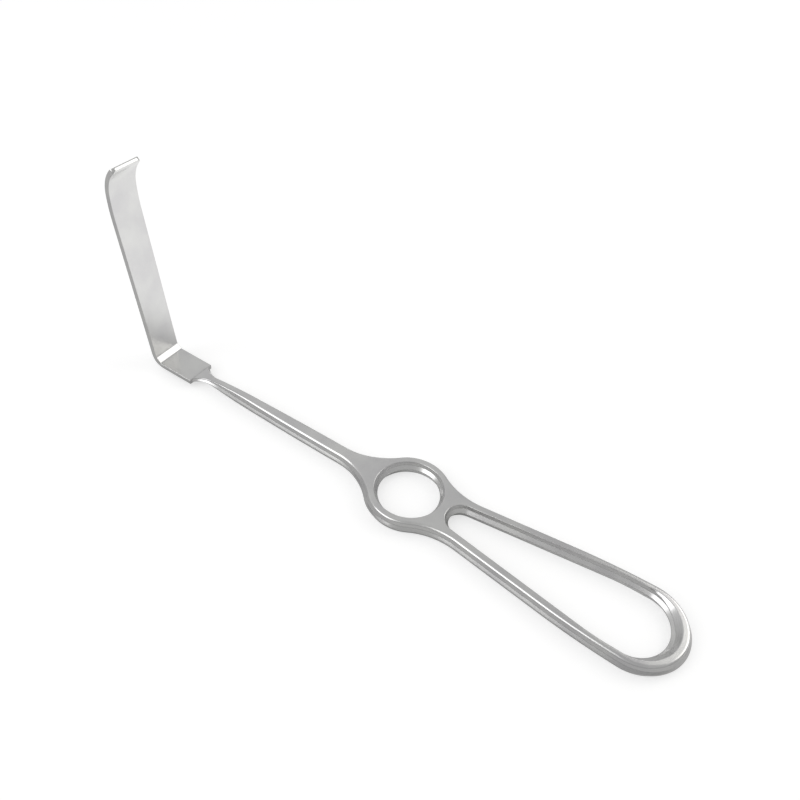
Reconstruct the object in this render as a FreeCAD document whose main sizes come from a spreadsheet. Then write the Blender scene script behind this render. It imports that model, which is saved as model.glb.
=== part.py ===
import FreeCAD, Part
import math
import os

import Sketcher
from FreeCAD import Vector

# A hand-held retractor, forged and ground from one bar of stainless steel.
# The parting plane is the level, half way up the handle, where the forging dies met.
# Everything is drawn on it, and the finished piece then stands its flat underside on Z = 0.
# The origin is the centre of the finger ring, +X runs along the handle to the loop end,
# and the blade rises towards +Z at the other end. Lengths are millimetres, angles degrees.

SIZES = {
    # Handle section: walls lean in by the draft, and a ridge stands out at the parting plane.
    "handle_thick": 5.6,
    "wall_draft": 13.5,
    "ridge_reach": 0.6,
    "hole_ridge_reach": 0.85,
    "ridge_slope": 52.0,
    "ridge_sink": 0.05,
    # Finger ring, measured on the parting plane without the ridge.
    "ring_hole_radius": 11.4,
    "ring_wall": 3.6,
    # Shank between the ring and the blade.
    "shank_half_width": 2.9,
    "shank_crest": 30.0,
    "shank_blend_radius": 25.0,
    "neck_half_width": 1.65,
    "neck_reach": 86.0,
    "ramp_run": 8.0,
    "ramp_foot_radius": 25.0,
    "ramp_top_radius": 125.0,
    "root_run": 9.9,
    "root_sink": 0.5,
    "flare_radius": 8.4,
    "shoulder_step": 0.7,
    # Loop handle and its teardrop hole.
    "waist_half_width": 9.3,
    "waist_radius": 25.0,
    "arm_outer_pass": 1.35,
    "arm_outer_bow": 260.0,
    "loop_reach": 99.4,
    "loop_end_radius": 15.6,
    "web_width": 4.4,
    "hole_start_radius": 5.2,
    "arm_inner_pass": 0.97,
    "arm_inner_bow": 80.0,
    "loop_end_wall": 5.1,
    "loop_side_wall": 3.3,
    "bevel_run": 2.1,
    "bevel_side_run": 0.8,
    "bevel_slope": 43.0,
    "bevel_foot": 0.75,
    # Ground rounding of the handle's rims: the radius at each place along the outer one.
    "root_round": 0.3,
    "neck_round": 0.9,
    "shank_round": 2.2,
    "ring_round": 0.8,
    "arm_round": 1.3,
    "loop_end_round": 1.1,
    "wall_share": 0.95,
    "hole_edge_break": 0.25,
    # Plate and blade, bent from one flat end of the bar.
    "blade_thick": 1.9,
    "plate_width": 11.3,
    "plate_length": 18.95,
    "bend_radius": 4.7,
    "blade_lean": 7.4,
    "blade_rise": 80.2,
    "blade_width": 12.0,
    "lip_easy_radius": 60.0,
    "lip_easy_turn": 10.0,
    "lip_tight_radius": 14.5,
    "lip_tight_turn": 46.0,
    "tip_corner_radius": 1.5,
    "blade_edge_break": 0.25,
}

RAMP_FOOT = "(Sizes.neck_reach + Sizes.ramp_run)"
PLATE_END = "(Sizes.neck_reach + Sizes.root_run)"
BEND_REACH = "(Sizes.neck_reach + Sizes.root_run + Sizes.plate_length)"
RING_RADIUS = "(Sizes.ring_hole_radius + Sizes.ring_wall)"
LOOP_CENTRE = "(Sizes.loop_reach - Sizes.loop_end_radius)"
HOLE_START = "(Sizes.ring_hole_radius + Sizes.web_width + Sizes.hole_start_radius)"
HOLE_END_RADIUS = "(Sizes.loop_end_radius - Sizes.loop_side_wall)"
HOLE_END = "(Sizes.loop_reach - Sizes.loop_end_wall - %s)" % HOLE_END_RADIUS
BEVEL_RADIUS = "(%s + Sizes.bevel_side_run)" % HOLE_END_RADIUS
BEVEL_CENTRE = "(Sizes.loop_reach - Sizes.loop_end_wall + Sizes.bevel_run - %s)" % BEVEL_RADIUS
RIDGE_RISE = "(tan(Sizes.ridge_slope * 1 deg) - tan(Sizes.wall_draft * 1 deg))"
HOLE_RIDGE_HEIGHT = "(Sizes.hole_ridge_reach / %s)" % RIDGE_RISE

START, END, CENTRE = range(1, 4)
X_AXIS = -1
ORIGIN = (X_AXIS, START)
TOLERANCE = 0.01

document = FreeCAD.newDocument("retractor")

sheet = document.addObject("Spreadsheet::Sheet", "Sizes")
for row, (name, value) in enumerate(SIZES.items(), start=1):
    sheet.set("A%d" % row, name)
    sheet.set("B%d" % row, str(value))
    sheet.setAlias("B%d" % row, name)
document.recompute()

handle = document.addObject("PartDesign::Body", "Handle")
handle.Label = "handle_blank"
strip = document.addObject("PartDesign::Body", "Strip")
strip.Label = "blade_strip"


def measure(words):
    """The value of an expression on the sheet's sizes."""
    return float(handle.evalExpression(words))


def size(name):
    """The sheet's value for one named size."""
    return measure("Sizes." + name)


def origin_plane(body, role):
    """One of a body's own origin planes, such as XY_Plane."""
    return next(item for item in body.Origin.OriginFeatures if item.Role == role)


def sketch_on(body, name, role, lift=None):
    """A sketch on an origin plane, lifted along the plane's normal by an expression."""
    sketch = body.newObject("Sketcher::SketchObject", name)
    sketch.AttachmentSupport = [(origin_plane(body, role), "")]
    sketch.MapMode = "FlatFace"
    if lift:
        sketch.setExpression("AttachmentOffset.Base.z", lift)
    return sketch


def require(sketch, name, words, kind, *where):
    """Adds a named dimension to a sketch and ties it to an expression on the sheet."""
    value = math.radians(measure(words)) if kind == "Angle" else measure(words)
    index = sketch.addConstraint(Sketcher.Constraint(kind, *where, value))
    sketch.renameConstraint(index, name)
    sketch.setExpression("Constraints." + name, "%s * 1 deg" % words if kind == "Angle" else words)


def turned(angle):
    """The direction at an angle, in radians, from the first axis of a sketch."""
    return Vector(math.cos(angle), math.sin(angle), 0)


def across_axis(point):
    """The point mirrored across the first axis of a sketch."""
    return Vector(point.x, -point.y, 0)


def towards(start, goal, distance):
    """The point at a distance from start on the way to goal."""
    return start + (goal - start).normalize() * distance


def meet(first, first_radius, second, second_radius):
    """Where two circles cross, on the left of the run from the first centre to the second."""
    run = second - first
    along = (first_radius ** 2 - second_radius ** 2 + run.Length ** 2) / (2 * run.Length)
    step = run / run.Length
    left = Vector(-step.y, step.x, 0)
    return first + step * along + left * math.sqrt(first_radius ** 2 - along ** 2)


def bow_into_end(point, angle, bow_radius, end_centre, end_radius):
    """A bow on the right of a line that runs on into an end circle: its centre, start and end."""
    along, inwards = turned(angle), turned(angle - math.pi / 2)
    start = point + inwards * bow_radius - end_centre
    reach = bow_radius - end_radius
    shift = -start.dot(along) - math.sqrt(start.dot(along) ** 2 - start.dot(start) + reach ** 2)
    centre = point + inwards * bow_radius + along * shift
    return centre, point + along * shift, towards(centre, end_centre, bow_radius)


class Piece:
    """A line, or an arc when it has a centre, run through from start to end."""

    def __init__(self, start, end, centre=None, clockwise=True):
        self.start, self.end, self.centre, self.clockwise = start, end, centre, clockwise

    def mirrored(self):
        """The same piece across the X axis, run through the other way."""
        centre = self.centre and across_axis(self.centre)
        return Piece(across_axis(self.end), across_axis(self.start), centre, self.clockwise)

    def draw(self, sketch):
        """Adds the piece to a sketch and notes which of its ends comes first."""
        self.first, self.last = START, END
        if self.centre is None:
            self.index = sketch.addGeometry(Part.LineSegment(self.start, self.end))
            return
        low, high = self.start, self.end
        if self.clockwise:
            low, high = high, low
            self.first, self.last = END, START
        angles = [math.atan2(point.y - self.centre.y, point.x - self.centre.x) for point in (low, high)]
        if angles[1] < angles[0]:
            angles[1] += 2 * math.pi
        circle = Part.Circle(self.centre, Vector(0, 0, 1), (low - self.centre).Length)
        self.index = sketch.addGeometry(Part.ArcOfCircle(circle, *angles))


def join(sketch, kind, before, after):
    """Joins the end of one piece to the start of the next, Tangent or Coincident."""
    sketch.addConstraint(Sketcher.Constraint(kind, before.index, before.last, after.index, after.first))


def draw_polygon(sketch, corners, directions):
    """Draws a closed polygon, each of its sides Vertical, Horizontal or free."""
    sides = [Piece(first, second) for first, second in zip(corners, corners[1:] + corners[:1])]
    for side in sides:
        side.draw(sketch)
    for before, after in zip(sides, sides[1:] + sides[:1]):
        join(sketch, "Coincident", before, after)
    for side, direction in zip(sides, directions):
        if direction != "free":
            sketch.addConstraint(Sketcher.Constraint(direction, side.index))
    return sides


def draw_symmetric(sketch, left, upper, right, corners=()):
    """Draws a closed outline: left and right cross the X axis, and upper is mirrored below it.

    A joint along the upper side is tangent, unless the piece before it is in corners.
    """
    lower = [piece.mirrored() for piece in reversed(upper)]
    ring = [left] + upper + [right] + lower
    for piece in ring:
        piece.draw(sketch)
    for before, after in zip(ring, ring[1:] + ring[:1]):
        tangent = before not in lower and after not in lower and before not in corners
        join(sketch, "Tangent" if tangent else "Coincident", before, after)
    for piece, twin in zip(upper, reversed(lower)):
        if piece.centre is not None:
            sketch.addConstraint(Sketcher.Constraint("Equal", piece.index, twin.index))
        if piece is not upper[0] or left.centre is None:
            sketch.addConstraint(Sketcher.Constraint(
                "Symmetric", piece.index, piece.first, twin.index, twin.last, X_AXIS))
    for piece in (left, right):
        if piece.centre is not None:
            sketch.addConstraint(Sketcher.Constraint("PointOnObject", piece.index, CENTRE, X_AXIS))
            sketch.addConstraint(Sketcher.Constraint("Vertical", piece.index, START, piece.index, END))


def aim(sketch, name, line, end_arc, centre, words):
    """Aims a straight side past the end arc: it is tangent to a wider circle with the same centre."""
    circle = sketch.addGeometry(Part.Circle(centre, Vector(0, 0, 1), measure(words)), True)
    sketch.addConstraint(Sketcher.Constraint("Coincident", circle, CENTRE, end_arc.index, CENTRE))
    sketch.addConstraint(Sketcher.Constraint("Tangent", line.index, circle))
    require(sketch, name, words, "Radius", circle)


def handle_outline(name, reach="0"):
    """The handle's outer outline, as a closed run of tangent arcs, grown by a reach."""
    grown = measure(reach)
    root_reach = PLATE_END + " + Sizes.root_sink"
    root_half = "Sizes.plate_width / 2 - Sizes.shoulder_step + " + reach
    drop = "(Sizes.shank_half_width - Sizes.neck_half_width)"
    run = "(Sizes.neck_reach - Sizes.shank_crest)"
    shank_bow = "((%s ^ 2 + %s ^ 2) / (2 * %s))" % (run, drop, drop)
    aim_radius = "Sizes.loop_end_radius + Sizes.arm_outer_pass + " + reach

    ring, ring_radius = Vector(0, 0, 0), measure(RING_RADIUS) + grown
    shank_radius = measure(shank_bow) + grown
    shank = Vector(-size("shank_crest"), size("shank_half_width") - measure(shank_bow), 0)
    blend_radius = size("shank_blend_radius") - grown
    blend = meet(shank, shank_radius + blend_radius, ring, ring_radius + blend_radius)
    root = Vector(-measure(root_reach), measure(root_half), 0)
    flare_radius = size("flare_radius") - grown
    flare = meet(root, flare_radius, shank, shank_radius + flare_radius)

    waist_radius = size("waist_radius") - grown
    waist_level = size("waist_half_width") + size("waist_radius")
    waist = Vector(math.sqrt((ring_radius + waist_radius) ** 2 - waist_level ** 2), waist_level, 0)
    end = Vector(measure(LOOP_CENTRE), 0, 0)
    apart = end - waist
    angle = (math.atan2(apart.x, waist.y)
             - math.acos((waist_radius + measure(aim_radius)) / apart.Length))
    arm_start = waist + turned(angle - math.pi / 2) * waist_radius
    bow, arm_end, bow_end = bow_into_end(
        arm_start, angle, size("arm_outer_bow") + grown, end, size("loop_end_radius") + grown)

    flare_end = towards(flare, shank, flare_radius)
    blend_start = towards(blend, shank, blend_radius)
    blend_end = towards(blend, ring, blend_radius)
    waist_start = towards(waist, ring, waist_radius)

    root_line = Piece(across_axis(root), root)
    flare_arc = Piece(root, flare_end, flare, clockwise=False)
    shank_arc = Piece(flare_end, blend_start, shank)
    blend_arc = Piece(blend_start, blend_end, blend, clockwise=False)
    ring_arc = Piece(blend_end, waist_start, ring)
    waist_arc = Piece(waist_start, arm_start, waist, clockwise=False)
    arm_line = Piece(arm_start, arm_end)
    bow_arc = Piece(arm_end, bow_end, bow)
    end_arc = Piece(bow_end, across_axis(bow_end), end)

    sketch = sketch_on(handle, name, "XY_Plane")
    upper = [flare_arc, shank_arc, blend_arc, ring_arc, waist_arc, arm_line, bow_arc]
    draw_symmetric(sketch, root_line, upper, end_arc, corners=(root_line,))
    aim(sketch, "arm_aim", arm_line, end_arc, end, aim_radius)
    sketch.addConstraint(Sketcher.Constraint("Coincident", ring_arc.index, CENTRE, *ORIGIN))
    for label, piece, words in (
            ("flare", flare_arc, "Sizes.flare_radius - " + reach),
            ("shank_bow", shank_arc, shank_bow + " + " + reach),
            ("blend", blend_arc, "Sizes.shank_blend_radius - " + reach),
            ("ring", ring_arc, RING_RADIUS + " + " + reach),
            ("waist", waist_arc, "Sizes.waist_radius - " + reach),
            ("arm_bow", bow_arc, "Sizes.arm_outer_bow + " + reach),
            ("loop_end", end_arc, "Sizes.loop_end_radius + " + reach)):
        require(sketch, label, words, "Radius", piece.index)
    require(sketch, "root_reach", root_reach, "DistanceX", root_line.index, END, *ORIGIN)
    require(sketch, "root_half", root_half, "DistanceY", *ORIGIN, root_line.index, END)
    require(sketch, "shank_crest", "Sizes.shank_crest", "DistanceX", shank_arc.index, CENTRE, *ORIGIN)
    require(sketch, "shank_level", shank_bow + " - Sizes.shank_half_width",
            "DistanceY", shank_arc.index, CENTRE, *ORIGIN)
    require(sketch, "waist_level", "Sizes.waist_half_width + Sizes.waist_radius",
            "DistanceY", *ORIGIN, waist_arc.index, CENTRE)
    require(sketch, "loop_centre", LOOP_CENTRE, "DistanceX", *ORIGIN, end_arc.index, CENTRE)
    return sketch


def hole_outlines(sketch, reach="0"):
    """Draws the finger hole and the teardrop hole in a sketch, both shrunk by a reach."""
    shrunk = measure(reach)
    finger_circle = Part.Circle(Vector(0, 0, 0), Vector(0, 0, 1), size("ring_hole_radius") - shrunk)
    finger_hole = sketch.addGeometry(finger_circle)
    sketch.addConstraint(Sketcher.Constraint("Coincident", finger_hole, CENTRE, *ORIGIN))

    start, end = Vector(measure(HOLE_START), 0, 0), Vector(measure(HOLE_END), 0, 0)
    start_radius = size("hole_start_radius") - shrunk
    aim_radius = HOLE_END_RADIUS + " + Sizes.arm_inner_pass - " + reach
    angle = math.asin((measure(aim_radius) - start_radius) / (end.x - start.x))
    side_start = start + turned(angle + math.pi / 2) * start_radius
    bow, side_end, bow_end = bow_into_end(
        side_start, angle, size("arm_inner_bow") - shrunk, end, measure(HOLE_END_RADIUS) - shrunk)

    start_arc = Piece(across_axis(side_start), side_start, start)
    side_line = Piece(side_start, side_end)
    bow_arc = Piece(side_end, bow_end, bow)
    end_arc = Piece(bow_end, across_axis(bow_end), end)
    draw_symmetric(sketch, start_arc, [side_line, bow_arc], end_arc)
    aim(sketch, "hole_aim", side_line, end_arc, end, aim_radius)

    require(sketch, "finger_hole", "Sizes.ring_hole_radius - " + reach, "Radius", finger_hole)
    require(sketch, "hole_start", "Sizes.hole_start_radius - " + reach, "Radius", start_arc.index)
    require(sketch, "hole_bow", "Sizes.arm_inner_bow - " + reach, "Radius", bow_arc.index)
    require(sketch, "hole_end", HOLE_END_RADIUS + " - " + reach, "Radius", end_arc.index)
    require(sketch, "hole_start_centre", HOLE_START, "DistanceX", *ORIGIN, start_arc.index, CENTRE)
    require(sketch, "hole_end_centre", HOLE_END, "DistanceX", *ORIGIN, end_arc.index, CENTRE)


def pad_both_ways(name, sketch, height, slope):
    """A pad that narrows above and below its sketch by the same slope."""
    pad = handle.newObject("PartDesign::Pad", name)
    pad.Profile = sketch
    pad.SideType = "Two sides"
    for length, taper in (("Length", "TaperAngle"), ("Length2", "TaperAngle2")):
        pad.setExpression(length, height)
        pad.setExpression(taper, "-%s * 1 deg" % slope)
    return pad


# The handle: a core with drafted walls, and the ridge left where the dies met.
pad_both_ways("core", handle_outline("core_outline"), "Sizes.handle_thick / 2", "Sizes.wall_draft")
ridge = pad_both_ways("parting_ridge", handle_outline("ridge_outline", "Sizes.ridge_reach"),
                      "Sizes.ridge_reach / %s + Sizes.ridge_sink" % RIDGE_RISE, "Sizes.ridge_slope")

# The holes are narrowest at the parting plane. They widen steeply past their own ridge,
# and then by the walls' draft up to the mouth.
waist_outline = sketch_on(handle, "waist_outline", "XY_Plane")
hole_outlines(waist_outline, "Sizes.hole_ridge_reach")
hole_waists = handle.newObject("PartDesign::Pocket", "hole_waists")
hole_waists.Profile = waist_outline
hole_waists.SideType = "Two sides"
for length, taper in (("Length", "TaperAngle"), ("Length2", "TaperAngle2")):
    hole_waists.setExpression(length, HOLE_RIDGE_HEIGHT)
    hole_waists.setExpression(taper, "Sizes.ridge_slope * 1 deg")

mouth_outline = sketch_on(handle, "mouth_outline", "XY_Plane", HOLE_RIDGE_HEIGHT)
hole_outlines(mouth_outline, "-%s * tan(Sizes.wall_draft * 1 deg)" % HOLE_RIDGE_HEIGHT)
upper_mouths = handle.newObject("PartDesign::Pocket", "upper_mouths")
upper_mouths.Profile = mouth_outline
upper_mouths.Reversed = True
upper_mouths.setExpression("Length", "Sizes.handle_thick / 2 - " + HOLE_RIDGE_HEIGHT)
upper_mouths.setExpression("TaperAngle", "Sizes.wall_draft * 1 deg")

# The shank's upper face runs down to the plate in a long S, cut here and mirrored below.
deck, plate_top = size("handle_thick") / 2, size("blade_thick") / 2
foot_radius, top_radius = size("ramp_foot_radius"), size("ramp_top_radius")
foot_centre = Vector(-measure(RAMP_FOOT), plate_top + foot_radius, 0)
level_gap = foot_centre.y - (deck - top_radius)
ramp_length = math.sqrt((foot_radius + top_radius) ** 2 - level_gap ** 2)
top_centre = Vector(foot_centre.x + ramp_length, deck - top_radius, 0)
foot = Vector(foot_centre.x, plate_top, 0)
middle = towards(foot_centre, top_centre, foot_radius)
crest = Vector(top_centre.x, deck, 0)
crest_above = Vector(crest.x, size("handle_thick"), 0)
far_above = Vector(-measure(PLATE_END) - 2 * size("blade_thick"), size("handle_thick"), 0)
far_end = Vector(far_above.x, plate_top, 0)

ramp_profile = sketch_on(handle, "ramp_profile", "XZ_Plane")
foot_arc = Piece(foot, middle, foot_centre, clockwise=False)
crest_arc = Piece(middle, crest, top_centre)
straights = [Piece(crest, crest_above), Piece(crest_above, far_above),
             Piece(far_above, far_end), Piece(far_end, foot)]
riser, lid, far_side, level = straights
ramp = [foot_arc, crest_arc] + straights
for piece in ramp:
    piece.draw(ramp_profile)
for before, after in zip(ramp, ramp[1:] + ramp[:1]):
    join(ramp_profile, "Tangent" if after is crest_arc else "Coincident", before, after)
for piece, direction in zip(straights, ("Vertical", "Horizontal") * 2):
    ramp_profile.addConstraint(Sketcher.Constraint(direction, piece.index))
for arc, end in ((foot_arc, foot_arc.first), (crest_arc, crest_arc.last)):
    ramp_profile.addConstraint(Sketcher.Constraint("Vertical", arc.index, CENTRE, arc.index, end))
require(ramp_profile, "foot_radius", "Sizes.ramp_foot_radius", "Radius", foot_arc.index)
require(ramp_profile, "top_radius", "Sizes.ramp_top_radius", "Radius", crest_arc.index)
require(ramp_profile, "foot_reach", RAMP_FOOT, "DistanceX", foot_arc.index, CENTRE, *ORIGIN)
require(ramp_profile, "foot_level", "Sizes.blade_thick / 2",
        "DistanceY", *ORIGIN, foot_arc.index, foot_arc.first)
require(ramp_profile, "deck_level", "Sizes.handle_thick / 2",
        "DistanceY", *ORIGIN, crest_arc.index, crest_arc.last)
require(ramp_profile, "lid_level", "Sizes.handle_thick", "DistanceY", *ORIGIN, lid.index, START)
require(ramp_profile, "far_reach", PLATE_END + " + 2 * Sizes.blade_thick",
        "DistanceX", far_side.index, START, *ORIGIN)

upper_ramp = handle.newObject("PartDesign::Pocket", "upper_ramp")
upper_ramp.Profile = ramp_profile
upper_ramp.SideType = "Symmetric"
upper_ramp.setExpression("Length", "2 * Sizes.plate_width")

lower_side = handle.newObject("PartDesign::Mirrored", "lower_side")
lower_side.Originals = [upper_mouths, upper_ramp]
lower_side.MirrorPlane = (origin_plane(handle, "XY_Plane"), [""])
handle.Tip = lower_side
document.recompute()


def deck_height(x):
    """The height of the handle's upper face above the parting plane."""
    if x > top_centre.x:
        return deck
    if x > middle.x:
        return top_centre.y + math.sqrt(top_radius ** 2 - (x - top_centre.x) ** 2)
    if x > foot_centre.x:
        return foot_centre.y - math.sqrt(foot_radius ** 2 - (x - foot_centre.x) ** 2)
    return plate_top


def on_rim(edge):
    """Whether an edge bounds the upper or lower face, and isn't the root's end across it."""
    points = edge.discretize(5)
    across = max(abs(point.x - points[0].x) for point in points) < TOLERANCE
    return not across and all(
        abs(abs(point.z) - deck_height(point.x)) < TOLERANCE for point in points)


def hole_rims(shape):
    """The edges round the holes in the flat upper and lower faces."""
    flats = [face for face in shape.Faces
             if face.BoundBox.ZLength < TOLERANCE and abs(abs(face.BoundBox.ZMax) - deck) < TOLERANCE]
    return [edge for face in flats for wire in face.Wires
            if not wire.isSame(face.OuterWire) for edge in wire.Edges]


def numbered(shape, wanted):
    """The numbers and edges of a shape's edges that pass a test."""
    return [(number, edge) for number, edge in enumerate(shape.Edges, start=1) if wanted(edge)]


def names(edges):
    """The names of numbered edges."""
    return ["Edge%d" % number for number, _ in edges]


inner_rims = hole_rims(lower_side.Shape)
hole_edges = handle.newObject("PartDesign::Chamfer", "hole_edges")
hole_edges.Base = (lower_side, names(numbered(
    lower_side.Shape, lambda edge: any(edge.isSame(rim) for rim in inner_rims))))
hole_edges.setExpression("Size", "Sizes.hole_edge_break")
handle.Tip = hole_edges
document.recompute()

# The loop's end is ground to a wide bevel that fades out along the two arms.
bevel_outline = sketch_on(handle, "bevel_outline", "XY_Plane", "Sizes.handle_thick / 2")
bevel_circle = bevel_outline.addGeometry(
    Part.Circle(Vector(measure(BEVEL_CENTRE), 0, 0), Vector(0, 0, 1), measure(BEVEL_RADIUS)))
bevel_outline.addConstraint(Sketcher.Constraint("PointOnObject", bevel_circle, CENTRE, X_AXIS))
require(bevel_outline, "bevel_centre", BEVEL_CENTRE, "DistanceX", *ORIGIN, bevel_circle, CENTRE)
require(bevel_outline, "bevel_radius", BEVEL_RADIUS, "Radius", bevel_circle)

upper_bevel = handle.newObject("PartDesign::Pocket", "upper_bevel")
upper_bevel.Profile = bevel_outline
upper_bevel.setExpression("Length", "Sizes.handle_thick / 2 - Sizes.bevel_foot")
upper_bevel.setExpression("TaperAngle", "-Sizes.bevel_slope * 1 deg")
document.recompute()

lower_bevel = handle.newObject("PartDesign::Mirrored", "lower_bevel")
lower_bevel.Originals = [upper_bevel]
lower_bevel.MirrorPlane = (origin_plane(handle, "XY_Plane"), [""])
handle.Tip = lower_bevel
document.recompute()

# The outer rims are ground round: broadly along the shank, and less on the ring and the arms.
rim_stations = [
    (-measure(PLATE_END), size("root_round")),
    (-size("neck_reach"), size("neck_round")),
    (-size("shank_crest"), size("shank_round")),
    (-measure(RING_RADIUS), size("ring_round")),
    (measure(RING_RADIUS), size("arm_round")),
    (measure(LOOP_CENTRE), size("arm_round")),
    (size("loop_reach"), size("loop_end_round")),
]
draft = math.radians(size("wall_draft"))
ridge_height = measure("Sizes.ridge_reach / " + RIDGE_RISE)


def rim_radius(vertex):
    """The outer rim's rounding at a vertex, no more than the wall above the ridge has room for."""
    x = min(max(vertex.X, rim_stations[0][0]), rim_stations[-1][0])
    spans = zip(rim_stations, rim_stations[1:])
    (low, low_radius), (high, high_radius) = next(span for span in spans if x <= span[1][0])
    radius = low_radius + (high_radius - low_radius) * (x - low) / (high - low)
    wall = (deck_height(x) - ridge_height) / math.cos(draft)
    room = wall / math.tan((math.pi / 2 - draft) / 2)
    return min(radius, size("wall_share") * room)


outer_rims = numbered(handle.Shape, lambda edge: on_rim(edge) and not any(
    edge.isSame(rim) for rim in hole_rims(handle.Shape)))
rounded_handle = document.addObject("Part::Fillet", "rounded_handle")
rounded_handle.Base = handle
rounded_handle.Edges = [
    (number, rim_radius(edge.Vertexes[0]), rim_radius(edge.Vertexes[-1]))
    for number, edge in outer_rims]
document.recompute()

# The plate, the bend, the blade and its hooked lip: one strip swept along its middle line.
lean = math.radians(size("blade_lean"))
bend_radius = size("bend_radius")
bend_inset = "Sizes.blade_thick / 2 / cos(Sizes.blade_lean * 1 deg)"
bend_run = "Sizes.bend_radius * tan((90 - Sizes.blade_lean) / 2 * 1 deg)"
bend_start_words = "%s - %s - %s" % (BEND_REACH, bend_inset, bend_run)
bend_start = Vector(-measure(bend_start_words), 0, 0)
bend_centre = bend_start + Vector(0, bend_radius, 0)
bend_end = bend_centre - turned(lean) * bend_radius

easy_radius, tight_radius = size("lip_easy_radius"), size("lip_tight_radius")
easy_turn, tight_turn = math.radians(size("lip_easy_turn")), math.radians(size("lip_tight_turn"))
easy_angle = lean - easy_turn
tip_angle = easy_angle - tight_turn
lip_height = (easy_radius * (math.sin(lean) - math.sin(easy_angle))
              + tight_radius * (math.sin(easy_angle) - math.sin(tip_angle)))
straight = (size("blade_rise") - lip_height - bend_end.y) / math.cos(lean)
easy_start = bend_end + turned(lean + math.pi / 2) * straight
easy_centre = easy_start + turned(lean) * easy_radius
easy_end = easy_centre - turned(easy_angle) * easy_radius
tight_centre = easy_end + turned(easy_angle) * tight_radius
tip = tight_centre - turned(tip_angle) * tight_radius

strip_path = sketch_on(strip, "strip_path", "XZ_Plane")
plate_line = Piece(Vector(-measure(PLATE_END), 0, 0), bend_start)
bend_arc = Piece(bend_start, bend_end, bend_centre)
blade_line = Piece(bend_end, easy_start)
easy_arc = Piece(easy_start, easy_end, easy_centre)
tight_arc = Piece(easy_end, tip, tight_centre)
run = [plate_line, bend_arc, blade_line, easy_arc, tight_arc]
for piece in run:
    piece.draw(strip_path)
for before, after in zip(run, run[1:]):
    join(strip_path, "Tangent", before, after)
strip_path.addConstraint(Sketcher.Constraint("PointOnObject", plate_line.index, START, X_AXIS))
strip_path.addConstraint(Sketcher.Constraint("Horizontal", plate_line.index))
require(strip_path, "plate_end", PLATE_END, "DistanceX", plate_line.index, START, *ORIGIN)
require(strip_path, "bend_radius", "Sizes.bend_radius", "Radius", bend_arc.index)
require(strip_path, "bend_start", bend_start_words, "DistanceX", bend_arc.index, CENTRE, *ORIGIN)
require(strip_path, "blade_lean", "(90 + Sizes.blade_lean)", "Angle", blade_line.index)
require(strip_path, "easy_radius", "Sizes.lip_easy_radius", "Radius", easy_arc.index)
require(strip_path, "easy_turn", "Sizes.lip_easy_turn", "Angle", easy_arc.index)
require(strip_path, "tight_radius", "Sizes.lip_tight_radius", "Radius", tight_arc.index)
require(strip_path, "tight_turn", "Sizes.lip_tight_turn", "Angle", tight_arc.index)
require(strip_path, "blade_rise", "Sizes.blade_rise",
        "DistanceY", *ORIGIN, tight_arc.index, tight_arc.last)

strip_section = sketch_on(strip, "strip_section", "YZ_Plane", "-" + PLATE_END)
half_width, half_thick = size("blade_width") / 2, size("blade_thick") / 2
section_sides = draw_polygon(
    strip_section,
    [Vector(half_width, -half_thick, 0), Vector(half_width, half_thick, 0),
     Vector(-half_width, half_thick, 0), Vector(-half_width, -half_thick, 0)],
    ("Vertical", "Horizontal") * 2)
strip_section.addConstraint(Sketcher.Constraint(
    "Symmetric", section_sides[0].index, START, section_sides[1].index, END, *ORIGIN))
require(strip_section, "width", "Sizes.blade_width",
        "DistanceX", section_sides[2].index, END, section_sides[0].index, START)
require(strip_section, "thick", "Sizes.blade_thick",
        "DistanceY", section_sides[0].index, START, section_sides[0].index, END)

full_strip = strip.newObject("PartDesign::AdditivePipe", "full_strip")
full_strip.Profile = strip_section
full_strip.Spine = (strip_path, [""])
full_strip.Mode = "Standard"

# The strip narrows from the blade's full width at the lip to the plate's width at its root.
narrowing = sketch_on(strip, "narrowing", "YZ_Plane", "-" + PLATE_END)
narrow, wide = size("plate_width") / 2, size("blade_width") / 2
bottom, top = -size("blade_thick"), size("blade_rise") + size("blade_thick")
for side, sign in (("far", 1), ("near", -1)):
    wedge = draw_polygon(
        narrowing,
        [Vector(sign * narrow, bottom, 0), Vector(sign * wide, top, 0),
         Vector(sign * 2 * wide, top, 0), Vector(sign * 2 * wide, bottom, 0)],
        ("free", "Horizontal", "Vertical", "Horizontal"))
    for label, line, words in (("narrow", wedge[0], "Sizes.plate_width / 2"),
                               ("wide", wedge[1], "Sizes.blade_width / 2"),
                               ("outer", wedge[2], "Sizes.blade_width")):
        ends = (*ORIGIN, line.index, START) if sign > 0 else (line.index, START, *ORIGIN)
        require(narrowing, "%s_%s" % (side, label), words, "DistanceX", *ends)
    require(narrowing, side + "_bottom", "Sizes.blade_thick",
            "DistanceY", wedge[0].index, START, *ORIGIN)
    require(narrowing, side + "_top", "Sizes.blade_rise + Sizes.blade_thick",
            "DistanceY", *ORIGIN, wedge[1].index, START)

strip_sides = strip.newObject("PartDesign::Pocket", "strip_sides")
strip_sides.Profile = narrowing
strip_sides.SideType = "Symmetric"
strip_sides.setExpression("Length", "2 * " + BEND_REACH)
document.recompute()


def through_tip(edge):
    """Whether an edge is one of the two short ones across the thickness at the lip's end."""
    first, last = (vertex.Point for vertex in (edge.Vertexes[0], edge.Vertexes[-1]))
    lowest = size("blade_rise") - size("blade_thick")
    return (abs((first - last).Length - size("blade_thick")) < TOLERANCE
            and min(first.z, last.z) > lowest)


def along_face(edge):
    """Whether an edge bounds one of the strip's two faces, away from its root."""
    at_root = edge.BoundBox.XMax > -measure(PLATE_END) - TOLERANCE and edge.BoundBox.XLength < TOLERANCE
    return not at_root and edge.Length > size("blade_thick") + TOLERANCE


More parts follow.
